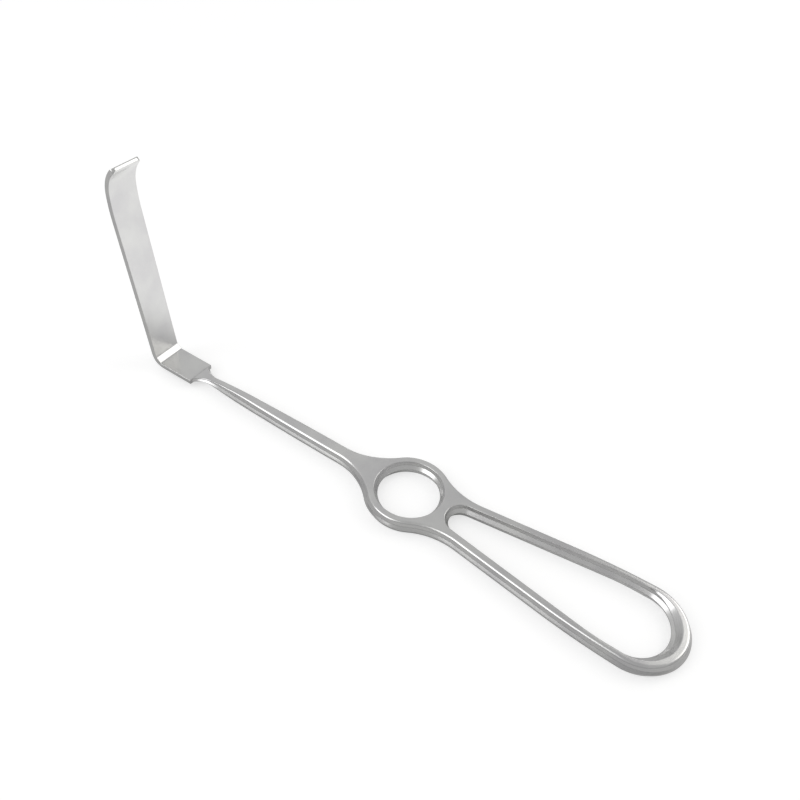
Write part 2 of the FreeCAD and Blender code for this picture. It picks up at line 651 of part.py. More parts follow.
tip_corners = strip.newObject("PartDesign::Fillet", "tip_corners")
tip_corners.Base = (strip_sides, names(numbered(strip_sides.Shape, through_tip)))
tip_corners.setExpression("Radius", "Sizes.tip_corner_radius")
document.recompute()

strip_edges = strip.newObject("PartDesign::Chamfer", "strip_edges")
strip_edges.Base = (tip_corners, names(numbered(tip_corners.Shape, along_face)))
strip_edges.setExpression("Size", "Sizes.blade_edge_break")
strip.Tip = strip_edges
document.recompute()

retractor = document.addObject("Part::Fuse", "retractor")
retractor.Base = rounded_handle
retractor.Tool = strip
retractor.Refine = True
retractor.setExpression("Placement.Base.z", "Sizes.handle_thick / 2")
document.recompute()

# Nothing is written unless every object is sound and every cut took something away.
failed = [item.Name for item in document.Objects if {"Invalid", "Error"} & set(item.State)]
if failed:
    raise RuntimeError("not built: " + ", ".join(failed))
for before, cut in ((ridge, hole_waists), (hole_waists, upper_mouths), (upper_mouths, upper_ramp),
                    (upper_ramp, lower_side), (lower_side, hole_edges), (hole_edges, upper_bevel),
                    (upper_bevel, lower_bevel), (handle, rounded_handle), (full_strip, strip_sides)):
    if cut.Shape.Volume >= before.Shape.Volume:
        raise RuntimeError("%s took nothing away" % cut.Name)
shape = retractor.Shape
if shape.isNull() or not shape.isValid() or len(shape.Solids) != 1:
    raise RuntimeError("the retractor isn't one sound solid")

os.makedirs("parts", exist_ok=True)
shape.exportStep("parts/%s.step" % retractor.Label)
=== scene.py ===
"""Models and dresses the retractor: satin ground steel, a white table and a soft light tent.

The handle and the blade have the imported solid's form in a finer mesh. They are worked out in
millimetres about the parting plane, with the finger ring round the Z axis and the loop towards
+X, and the object is made in metres, lying on the table.
"""

import logging
import math
from dataclasses import dataclass, field
from enum import Enum

import bmesh
import bpy
from mathutils import Matrix, Vector

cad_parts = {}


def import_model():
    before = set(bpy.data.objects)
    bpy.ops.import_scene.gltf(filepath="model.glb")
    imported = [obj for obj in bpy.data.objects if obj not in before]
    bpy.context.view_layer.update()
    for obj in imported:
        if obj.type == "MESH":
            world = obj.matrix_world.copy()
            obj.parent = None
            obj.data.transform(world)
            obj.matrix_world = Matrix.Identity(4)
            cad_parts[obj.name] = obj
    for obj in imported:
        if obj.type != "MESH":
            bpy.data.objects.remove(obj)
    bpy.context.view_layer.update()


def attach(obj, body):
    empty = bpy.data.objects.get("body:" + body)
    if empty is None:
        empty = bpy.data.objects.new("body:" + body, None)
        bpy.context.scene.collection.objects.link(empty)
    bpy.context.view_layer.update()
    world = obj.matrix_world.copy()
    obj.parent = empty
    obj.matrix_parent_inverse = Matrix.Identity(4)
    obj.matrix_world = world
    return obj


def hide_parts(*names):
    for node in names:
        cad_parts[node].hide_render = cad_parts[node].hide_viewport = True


log = logging.getLogger("retractor")

MM = 0.001
FRAME_PIXELS = 800
ROOT_BODY = "root"
WHITE = (1.0, 1.0, 1.0, 1.0)
NOISE_MIDDLE = 0.5

# A Mix node has sockets of one name for each type. These are the numbers of those for colours.
MIX_FACTOR, MIX_LOW, MIX_HIGH, MIX_RESULT = 0, 6, 7, 2

# Sizes that the handle and the blade share, in millimetres.
HANDLE_THICK = 5.6
PLATE_THICK = 1.9
ROOT_REACH = 95.9

# Places closer than this are one place, and heights closer than this are level, in millimetres.
SAME_PLACE = 1e-6
FLAT_SLACK = 1e-3

# The shares of the stretches before and after a corner that its curve may take. A stretch at an
# end of the run belongs to one corner alone.
ROOM_BEFORE, ROOM_AFTER, ROOM_AT_END = 0.22, 0.75, 0.98


class Grain(Enum):
    """The axis that a ground surface's fine scratches run along."""

    ALONG_HANDLE = (1.0, 0.0, 0.0)
    ALONG_BLADE = (0.0, 0.0, 1.0)


class Expr:
    """A float socket in a node tree, so that shader maths is written with Python operators."""

    def __init__(self, tree: bpy.types.NodeTree, socket: bpy.types.NodeSocket) -> None:
        """Wraps a socket.

        Args:
            tree: the node tree that the socket belongs to.
            socket: an output that carries one number.
        """
        self.tree = tree
        self.socket = socket

    def _math(self, operation: str, *values: "Expr | float", clamp: bool = False) -> "Expr":
        """Adds one Math node.

        Args:
            operation: the Math node's operation.
            values: its inputs in order, numbers or expressions.
            clamp: whether the result is held between 0 and 1.

        Returns:
            The node's result as an expression.
        """
        node = self.tree.nodes.new("ShaderNodeMath")
        node.operation = operation
        node.use_clamp = clamp
        for slot, value in zip(node.inputs, values):
            if isinstance(value, Expr):
                self.tree.links.new(value.socket, slot)
            else:
                slot.default_value = value
        return Expr(self.tree, node.outputs[0])

    def __add__(self, other: "Expr | float") -> "Expr":
        """The sum."""
        return self._math("ADD", self, other)

    __radd__ = __add__

    def __sub__(self, other: "Expr | float") -> "Expr":
        """The difference."""
        return self._math("SUBTRACT", self, other)

    def __rsub__(self, other: float) -> "Expr":
        """The difference from a plain number."""
        return self._math("SUBTRACT", other, self)

    def __mul__(self, other: "Expr | float") -> "Expr":
        """The product."""
        return self._math("MULTIPLY", self, other)

    __rmul__ = __mul__

    def clamped(self) -> "Expr":
        """The value held between 0 and 1."""
        return self._math("ADD", self, 0.0, clamp=True)

    def ramp(self, low: float, high: float) -> "Expr":
        """0 below low, 1 above high and a straight ramp between.

        Args:
            low: where the ramp starts.
            high: where the ramp ends.

        Returns:
            The ramped value.
        """
        return self._math("MULTIPLY", self - low, 1.0 / (high - low), clamp=True)


@dataclass
class Shader:
    """A material's node tree, with one way of adding any node."""

    tree: bpy.types.NodeTree

    def node(self, kind: str, settings: dict[str, object] | None = None,
             slots: dict[int, object] | None = None, **sockets: object) -> bpy.types.Node:
        """Adds a node.

        Args:
            kind: the node's type name.
            settings: properties that are set before its sockets.
            slots: values, sockets or expressions by input number, where inputs share a name.
            sockets: the same by input name, with spaces as underscores.

        Returns:
            The new node.
        """
        made = self.tree.nodes.new(kind)
        for name, value in (settings or {}).items():
            setattr(made, name, value)
        named = {name.replace("_", " "): value for name, value in sockets.items()}
        for key, value in {**(slots or {}), **named}.items():
            slot = made.inputs[key]
            if isinstance(value, Expr):
                self.tree.links.new(value.socket, slot)
            elif isinstance(value, bpy.types.NodeSocket):
                self.tree.links.new(value, slot)
            else:
                slot.default_value = value
        return made

    def number(self, socket: bpy.types.NodeSocket) -> Expr:
        """A number socket as an expression."""
        return Expr(self.tree, socket)


@dataclass(frozen=True)
class SatinSteel:
    """Ground and satin-finished stainless steel with a fine directional grain."""

    name: str = "satin_steel"
    tint: tuple[float, float, float, float] = (0.75, 0.75, 0.74, 1.0)
    dull_tint: tuple[float, float, float, float] = (0.67, 0.665, 0.67, 1.0)
    roughness: float = 0.24
    detail: float = 3.0
    # the cloudy change of tone and gloss that grinding leaves
    cloud_scale: float = 90.0
    cloud_contrast: float = 0.55
    cloud_span: tuple[float, float] = (0.35, 0.65)
    cloud_spread: float = 0.08
    # the fine scratches
    grain_pitch: float = 0.00022
    grain_stretch: float = 40.0
    grain_contrast: float = 0.6
    grain_spread: float = 0.06
    grain_depth: float = 0.04
    grain_height: float = 0.00005

    def make(self, grain: Grain) -> bpy.types.Material:
        """Builds the material.

        Args:
            grain: the axis that the scratches run along.

        Returns:
            The new material.
        """
        material = bpy.data.materials.new(self.name)
        material.use_nodes = True
        tree = material.node_tree
        tree.nodes.clear()
        shader = Shader(tree)
        place = shader.node("ShaderNodeTexCoord").outputs["Object"]
        stretch = tuple(
            1.0 / (self.grain_pitch * (self.grain_stretch if part else 1.0)) for part in grain.value)
        scratches = shader.node("ShaderNodeMapping", Vector=place, Scale=stretch).outputs["Vector"]
        fine = self.noise(shader, scratches, 1.0, self.grain_contrast)
        cloud = self.noise(shader, place, self.cloud_scale, self.cloud_contrast)
        rough = (self.roughness + (fine - NOISE_MIDDLE) * self.grain_spread
                 + (cloud - NOISE_MIDDLE) * self.cloud_spread)
        tone = shader.node("ShaderNodeMix", {"data_type": "RGBA"}, {
            MIX_FACTOR: cloud.ramp(*self.cloud_span), MIX_LOW: self.dull_tint, MIX_HIGH: self.tint})
        bump = shader.node(
            "ShaderNodeBump", Strength=self.grain_depth, Distance=self.grain_height, Height=fine)
        surface = shader.node(
            "ShaderNodeBsdfPrincipled", Base_Color=tone.outputs[MIX_RESULT], Metallic=1.0,
            Roughness=rough, Normal=bump.outputs["Normal"])
        shader.node("ShaderNodeOutputMaterial", Surface=surface.outputs["BSDF"])
        return material

    def noise(self, shader: Shader, place: bpy.types.NodeSocket, scale: float, contrast: float) -> Expr:
        """Adds one noise pattern.

        Args:
            shader: the material's nodes.
            place: the coordinates that it reads.
            scale: its frequency.
            contrast: how much its finer layers count.

        Returns:
            The pattern, about NOISE_MIDDLE.
        """
        pattern = shader.node(
            "ShaderNodeTexNoise", Vector=place, Scale=scale, Detail=self.detail, Roughness=contrast)
        return shader.number(pattern.outputs["Fac"])


def turned(angle: float) -> Vector:
    """The flat direction at an angle from +X."""
    return Vector((math.cos(angle), math.sin(angle)))


def meet(first: Vector, first_radius: float, second: Vector, second_radius: float) -> Vector:
    """Finds where two circles cross.

    Args:
        first: the first circle's centre.
        first_radius: its radius.
        second: the second circle's centre.
        second_radius: its radius.

    Returns:
        The crossing on the left of the run from the first centre to the second.
    """
    run = second - first
    along = (first_radius ** 2 - second_radius ** 2 + run.length_squared) / (2 * run.length)
    step = run.normalized()
    return first + step * along + step.orthogonal() * math.sqrt(first_radius ** 2 - along ** 2)


def halfway(pair: tuple[Vector, Vector]) -> Vector:
    """The point half way between two."""
    return (pair[0] + pair[1]) / 2


def corner_drop(radius: float, left: float) -> float:
    """Finds how far a ground corner has fallen back.

    Args:
        radius: the corner's radius.
        left: the distance to the end that the corner runs into.

    Returns:
        The drop, which is 0 before the corner and the radius at the end.
    """
    into = max(radius - left, 0.0)
    return radius - math.sqrt(max(radius ** 2 - into ** 2, 0.0))


def rounded(corners: list[tuple[float, float, float]], steps: int) -> list[Vector]:
    """Runs through some corners, with each inner one eased by a short curve.

    Args:
        corners: each corner's two coordinates and its radius.
        steps: the curve's number of pieces at each inner corner.

    Returns:
        The points in order, the same number for the same number of corners.
    """
    places = [Vector(corner[:2]) for corner in corners]
    points = [places[0]]
    for before, corner, after, (_, _, radius) in zip(places, places[1:], places[2:], corners[1:]):
        back, on = before - corner, after - corner
        if min(back.length, on.length) < SAME_PLACE:
            points += [corner] * (steps + 1)
            continue
        half_turn = (math.pi - back.angle(on)) / 2
        back_room = back.length * (ROOM_AT_END if before is places[0] else ROOM_BEFORE)
        on_room = on.length * (ROOM_AT_END if after is places[-1] else ROOM_AFTER)
        reach = min(radius * math.tan(half_turn), back_room, on_room)
        first, last = corner + back.normalized() * reach, corner + on.normalized() * reach
        for step in range(steps + 1):
            share = step / steps
            points.append(first.lerp(corner, share).lerp(corner.lerp(last, share), share))
    return points + [places[-1]]


@dataclass(frozen=True)
class Station:
    """A place on an outline, with the direction that leaves the steel there."""

    place: Vector
    outward: Vector

    def across(self) -> "Station":
        """The same place on the other side of the middle plane."""
        flip = Vector((1.0, -1.0))
        return Station(self.place * flip, self.outward * flip)


@dataclass
class Outline:
    """The upper half of a closed outline, grown stretch by stretch along +X."""

    spacing: float = 0.6
    stations: list[Station] = field(default_factory=list)

    def arc(self, centre: Vector, start: Vector, end: Vector, solid: bool) -> None:
        """Adds an arc.

        Args:
            centre: the arc's centre.
            start: where it starts.
            end: where it ends.
            solid: whether the steel is on the centre's side.
        """
        spoke = start - centre
        sweep = spoke.angle_signed(end - centre)
        count = max(2, math.ceil(abs(sweep) * spoke.length / self.spacing))
        first = math.atan2(spoke.y, spoke.x)
        for step in range(count + 1):
            direction = turned(first - sweep * step / count)
            outward = direction if solid else -direction
            self.add(Station(centre + direction * spoke.length, outward))

    def line(self, start: Vector, end: Vector, outward: Vector) -> None:
        """Adds a straight stretch.

        Args:
            start: where it starts.
            end: where it ends.
            outward: the direction that leaves the steel.
        """
        count = max(1, math.ceil((end - start).length / self.spacing))
        for step in range(count + 1):
            self.add(Station(start.lerp(end, step / count), outward))

    def add(self, station: Station) -> None:
        """Adds one place, unless the outline already ends there."""
        if not self.stations or (self.stations[-1].place - station.place).length > SAME_PLACE:
            self.stations.append(station)

    def bow_into_end(self, start: Vector, angle: float, bow: float, end: Vector,
                     radius: float, solid: bool) -> None:
        """Adds a straight side, the bow that it runs into and half of the end circle.

        Args:
            start: where the straight side starts.
            angle: the side's direction.
            bow: the bow's radius.
            end: the end circle's centre.
            radius: the end circle's radius.
            solid: whether the steel is on the bow's inner side.
        """
        along, inwards = turned(angle), turned(angle - math.pi / 2)
        lead = start + inwards * bow - end
        shift = -lead.dot(along) - math.sqrt(
            lead.dot(along) ** 2 - lead.length_squared + (bow - radius) ** 2)
        centre = start + inwards * bow + along * shift
        side_end = start + along * shift
        bow_end = centre + (end - centre).normalized() * bow
        self.line(start, side_end, -inwards if solid else inwards)
        self.arc(centre, side_end, bow_end, solid)
        self.arc(end, bow_end, end + Vector((radius, 0.0)), solid)


class SteelMesh:
    """A mesh in millimetres that grows by grids of points, and becomes an object in metres."""

    def __init__(self) -> None:
        """Starts with nothing."""
        self.points: list[Vector] = []
        self.faces: list[tuple[int, ...]] = []

    def grid(self, rows: list[list[Vector]], closed: bool = False,
             ring: bool = False) -> list[list[int]]:
        """Adds rows of points and the quads between them.

        Args:
            rows: the rows, all of one length.
            closed: whether the last row joins the first.
            ring: whether each row's last point joins its first.

        Returns:
            The points' numbers, row by row.
        """
        numbers = []
        for row in rows:
            numbers.append(list(range(len(self.points), len(self.points) + len(row))))
            self.points += row
        pairs = list(zip(numbers, numbers[1:])) + ([(numbers[-1], numbers[0])] if closed else [])
        for one, two in pairs:
            columns = list(zip(one, one[1:], two[1:], two))
            if ring:
                columns.append((one[-1], one[0], two[0], two[-1]))
            self.faces += columns
        return numbers

    def build(self, name: str) -> bpy.types.Object:
        """Makes the object and selects it alone.

        Args:
            name: the object's name.

        Returns:
            The new object.
        """
        mesh = bpy.data.meshes.new(name)
        mesh.from_pydata([point * MM for point in self.points], [], self.faces)
        piece = bpy.data.objects.new(name, mesh)
        bpy.context.collection.objects.link(piece)
        bpy.ops.object.select_all(action="DESELECT")
        piece.select_set(True)
        bpy.context.view_layer.objects.active = piece
        return piece


@dataclass(frozen=True)
class Handle:
    """The forged handle: ring, loop and shank, in millimetres about the parting plane."""

    thick: float = HANDLE_THICK
    plate_thick: float = PLATE_THICK
    draft: float = math.radians(13.5)
    # the finger ring
    ring_hole: float = 11.4
    ring_wall: float = 3.6
    # the shank, from the ring to its root in the plate
    shank_half: float = 2.9
    shank_crest: float = 30.0
    shank_blend: float = 25.0
    neck_half: float = 1.65
    neck_reach: float = 86.0
    flare: float = 8.4
    root_reach: float = ROOT_REACH
    root_half: float = 4.95
    root_lap: float = 0.5
    root_tail: float = 3.0
    tail_drop: float = 0.03
    # the S in which the shank's faces run down to the plate, and its two radii
    ramp_run: float = 8.0
    ramp_foot: float = 25.0
    ramp_top: float = 125.0
    # the loop's outside: an arm's line passes outside the end circle, and a bow joins the two
    waist_half: float = 9.3
    waist: float = 25.0
    arm_pass: float = 1.35
    arm_bow: float = 260.0
    loop_reach: float = 99.4
    loop_end: float = 15.6
    # the loop's hole, drawn in the same way
    web: float = 4.4
    hole_start: float = 5.2
    hole_pass: float = 0.97
    hole_bow: float = 80.0
    end_wall: float = 5.1
    side_wall: float = 3.3
    # the ground bevel round the hole's far end
    bevel_run: float = 2.1
    bevel_side: float = 0.8
    bevel_slope: float = math.radians(43.0)
    bevel_foot: float = 1.0
    bevel_slack: float = 0.005
    # the ridge that the drafted walls meet in, and the share of a wall that its foot may take
    ridge_slope: float = math.radians(36.0)
    ridge_reach: float = 0.6
    ridge_room: float = 0.6
    hole_ridge_slope: float = math.radians(40.0)
    hole_ridge_reach: float = 0.85
    hole_ridge_room: float = 0.85
    foot_round: float = 3.0
    crest_round: float = 0.6
    # the outer rim's rounding at the root, the neck, the shank's crest, the ring and the loop,
    # the share of the wall that it may take, and how far before it the section starts
    rim_root: float = 0.3
    rim_neck: float = 0.9
    rim_shank: float = 2.2
    rim_ring: float = 0.8
    rim_arm: float = 1.3
    rim_end: float = 1.1
    rim_room: float = 0.9
    rim_lead: float = 1.08
    rim_margin: float = 0.02
    # the holes' rims
    lip_depth: float = 0.6
    hole_round: float = 0.3
    crease_round: float = 0.2
    # the mesh, whose faces are quads from side to side as far as fill_from
    round_steps: int = 5
    fill_from: float = -36.0

    @property
    def deck(self) -> float:
        """The flat faces' height over the parting plane."""
        return self.thick / 2

    @property
    def rim_stations(self) -> tuple[tuple[float, float], ...]:
        """The outer rim's rounding along the handle.

        Returns:
            Pairs of (x, radius), from the root to the loop's end.
        """
        ring = self.ring_hole + self.ring_wall
        return ((-self.root_reach, self.rim_root), (-self.neck_reach, self.rim_neck),
                (-self.shank_crest, self.rim_shank), (-ring, self.rim_ring), (ring, self.rim_arm),
                (self.loop_reach - self.loop_end, self.rim_arm), (self.loop_reach, self.rim_end))

    def height(self, x: float) -> float:
        """The upper face's height over the parting plane, down the S to the plate.

        Args:
            x: how far along the handle.

        Returns:
            The height. The root's tail lies a little inside the plate.
        """
        low = self.plate_thick / 2
        foot_x = -(self.neck_reach + self.ramp_run)
        gap = low + self.ramp_foot - (self.deck - self.ramp_top)
        length = math.sqrt((self.ramp_foot + self.ramp_top) ** 2 - gap ** 2)
        top_x = foot_x + length
        turn_x = foot_x + length * self.ramp_foot / (self.ramp_foot + self.ramp_top)
        if x > top_x:
            return self.deck
        if x > turn_x:
            return self.deck - self.ramp_top + math.sqrt(self.ramp_top ** 2 - (x - top_x) ** 2)
        if x > foot_x:
            return low + self.ramp_foot - math.sqrt(self.ramp_foot ** 2 - (x - foot_x) ** 2)
        return low - (self.tail_drop if x < -self.root_reach else 0.0)

    def outer(self) -> Outline:
        """Draws half of the outer outline on the parting plane.

        Returns:
            The outline, from the plate to the loop's end.
        """
        ring, ring_radius = Vector((0.0, 0.0)), self.ring_hole + self.ring_wall
        drop, run = self.shank_half - self.neck_half, self.neck_reach - self.shank_crest
        bow = (run ** 2 + drop ** 2) / (2 * drop)
        shank = Vector((-self.shank_crest, self.shank_half - bow))
        blend = meet(shank, bow + self.shank_blend, ring, ring_radius + self.shank_blend)
        root = Vector((-self.root_reach - self.root_lap, self.root_half))
        flare = meet(root, self.flare, shank, bow + self.flare)
        level = self.waist_half + self.waist
        waist = Vector((math.sqrt((ring_radius + self.waist) ** 2 - level ** 2), level))
        end = Vector((self.loop_reach - self.loop_end, 0.0))
        apart = end - waist
        angle = math.atan2(apart.x, waist.y) - math.acos(
            (self.waist + self.loop_end + self.arm_pass) / apart.length)
        arm_start = waist + turned(angle - math.pi / 2) * self.waist

        half = Outline()
        half.line(root - Vector((self.root_tail, 0.0)), root, Vector((0.0, 1.0)))
        flare_end = flare + (shank - flare).normalized() * self.flare
        half.arc(flare, root, flare_end, solid=False)
        blend_start = blend + (shank - blend).normalized() * self.shank_blend
        half.arc(shank, flare_end, blend_start, solid=True)
        blend_end = blend + (ring - blend).normalized() * self.shank_blend
        half.arc(blend, blend_start, blend_end, solid=False)
        waist_start = waist + (ring - waist).normalized() * self.waist
        half.arc(ring, blend_end, waist_start, solid=True)
        half.arc(waist, waist_start, arm_start, solid=False)
        half.bow_into_end(arm_start, angle, self.arm_bow, end, self.loop_end, solid=True)
        return half

    def finger_hole(self) -> Outline:
        """Draws half of the finger hole.

        Returns:
            The outline, from the shank's side to the loop's side.
        """
        middle = Vector((0.0, 0.0))
        left, top = Vector((-self.ring_hole, 0.0)), Vector((0.0, self.ring_hole))
        half = Outline()
        half.arc(middle, left, top, solid=False)
        half.arc(middle, top, -left, solid=False)
        return half

    def grip_hole(self) -> Outline:
        """Draws half of the teardrop hole in the loop.

        Returns:
            The outline, from the ring's side to the loop's end.
        """
        start = Vector((self.ring_hole + self.web + self.hole_start, 0.0))
        radius = self.loop_end - self.side_wall
        end = Vector((self.loop_reach - self.end_wall - radius, 0.0))
        angle = math.asin((radius + self.hole_pass - self.hole_start) / (end.x - start.x))
        side_start = start + turned(angle + math.pi / 2) * self.hole_start
        half = Outline()
        half.arc(start, start - Vector((self.hole_start, 0.0)), side_start, solid=False)
        half.bow_into_end(side_start, angle, self.hole_bow, end, radius, solid=False)
        return half

    def bevel(self, station: Station, height: float) -> float:
        """How far the bevel's cone lies outward of a hole's outline at a height.

        Args:
            station: a place on the hole's outline.
            height: the height over the parting plane.

        Returns:
            The distance, less than 0 where the cone reaches into the steel and endless where
            the cone isn't met.
        """
        mouth = self.loop_end - self.side_wall + self.bevel_side
        centre = Vector((self.loop_reach - self.end_wall + self.bevel_run - mouth, 0.0))
        radius = mouth - (self.deck - height) * math.tan(self.bevel_slope)
        spoke = station.place - centre
        along = spoke.dot(station.outward)
        inside = along ** 2 - spoke.length_squared + radius ** 2
        return -along - math.sqrt(inside) if inside > 0 and along < 0 else math.inf

    def wall(self, height: float) -> float:
        """How far a drafted wall lies outward of its outline at a height."""
        return -height * math.tan(self.draft)

    def ridge_height(self, reach: float, slope: float) -> float:
        """How far up its wall a ridge of some reach and slope starts."""
        return reach / (math.tan(slope) - math.tan(self.draft))

    def outer_section(self, station: Station) -> list[Vector]:
        """Draws the outer wall's section at a place.

        Args:
            station: a place on the outer outline.

        Returns:
            The section, from the upper face to the lower.
        """
        deck = self.height(station.place.x)
        foot = min(self.ridge_height(self.ridge_reach, self.ridge_slope), self.ridge_room * deck)
        x = min(max(station.place.x, self.rim_stations[0][0]), self.rim_stations[-1][0])
        spans = zip(self.rim_stations, self.rim_stations[1:])
        (low, low_radius), (high, high_radius) = next(span for span in spans if x <= span[1][0])
        radius = low_radius + (high_radius - low_radius) * (x - low) / (high - low)
        quarter = math.tan((math.pi / 2 - self.draft) / 2)
        run = min(radius * quarter, self.rim_room * (deck - foot))
        upper = [(self.wall(deck) - self.rim_lead * run - self.rim_margin, deck, 0.0),
                 (self.wall(deck), deck, run / quarter),
                 (self.wall(foot), foot, self.foot_round)]
        return self.both_sides(upper, (self.ridge_reach, 0.0, self.crest_round))

    def hole_section(self, station: Station) -> list[Vector]:
        """Draws a hole's section at a place, with the bevel where that reaches.

        Args:
            station: a place on the hole's outline.

        Returns:
            The section, from the upper face to the lower.
        """
        crease = self.deck - self.lip_depth
        if self.bevel(station, self.deck) < self.wall(self.deck):
            low, high = self.bevel_foot, self.deck
            while high - low > self.bevel_slack:
                middle = (low + high) / 2
                if self.bevel(station, middle) < self.wall(middle):
                    high = middle
                else:
                    low = middle
            crease = min(crease, high)
        top = min(self.wall(self.deck), self.bevel(station, self.deck))
        side = min(self.wall(crease), self.bevel(station, crease))
        foot = min(self.ridge_height(self.hole_ridge_reach, self.hole_ridge_slope),
                   self.hole_ridge_room * crease)
        upper = [(top - self.hole_round, self.deck, 0.0), (top, self.deck, self.hole_round),
                 (side, crease, self.crease_round), (self.wall(foot), foot, self.foot_round)]
        return self.both_sides(upper, (self.hole_ridge_reach, 0.0, self.crest_round))

    def both_sides(self, upper: list[tuple[float, float, float]],
                   crest: tuple[float, float, float]) -> list[Vector]:
        """Rounds a section and mirrors it about the parting plane.

        Args:
            upper: the corners over the crest, each with its radius.
            crest: the ridge's corner.

        Returns:
            The whole section's points, the same number on each side.
        """
        lower = [(offset, -height, radius) for offset, height, radius in reversed(upper)]
        whole = rounded(upper + [crest] + lower, self.round_steps)
        half = whole[:len(whole) // 2]
        return half + [Vector((point.x, -point.y)) for point in reversed(half)]

    def place(self, station: Station, section: list[Vector]) -> list[Vector]:
        """Sets a section upright at its place, with the handle's underside on the table."""
        return [Vector((*(station.place + station.outward * point.x), point.y + self.deck))
                for point in section]

    def build(self) -> bpy.types.Object:
        """Models the handle.

        Returns:
            The handle, closed all round.
        """
        steel = SteelMesh()
        half = self.outer().stations
        stations = half + [station.across() for station in reversed(half[:-1])]
        rows = [self.place(station, self.outer_section(station)) for station in stations]
        numbers = steel.grid(rows)
        # The shank's faces bend down to the plate, so they are made of quads. The flats of the
        # ring and the loop are filled at the end.
        for one, two, far_two, far_one in zip(numbers, numbers[1:], numbers[-2::-1], numbers[::-1]):
            if steel.points[two[0]].x > self.fill_from:
                break
            steel.faces.append((one[0], two[0], far_two[0], far_one[0]))
            steel.faces.append((one[-1], far_one[-1], far_two[-1], two[-1]))
        steel.faces.append(tuple(numbers[0]) + tuple(reversed(numbers[-1])))
        for outline in (self.finger_hole(), self.grip_hole()):
            half = outline.stations
            stations = half + [station.across() for station in reversed(half[1:-1])]
            rows = [self.place(station, self.hole_section(station)) for station in stations]
            steel.grid(rows, closed=True)
        piece = steel.build("handle")
        for upper in (True, False):
            self.fill_flat(piece, upper)
        return piece

    def fill_flat(self, piece: bpy.types.Object, upper: bool) -> None:
        """Fills one flat face of the ring and the loop, round the two holes.

        Args:
            piece: the handle.
            upper: whether the face is the upper one.
        """
        level = self.thick if upper else 0.0
        shape = bmesh.new()
        shape.from_mesh(piece.data)
        for part in (*shape.faces, *shape.edges, *shape.verts):
            part.select = False
        for edge in shape.edges:
            on_face = all(abs(vert.co.z / MM - level) < FLAT_SLACK for vert in edge.verts)
            if edge.is_boundary and on_face:
                edge.select_set(True)
        shape.to_mesh(piece.data)
        shape.free()
        bpy.ops.object.mode_set(mode="EDIT")
        bpy.ops.mesh.select_mode(type="EDGE")
        bpy.ops.mesh.fill(use_beauty=True)
        bpy.ops.object.mode_set(mode="OBJECT")


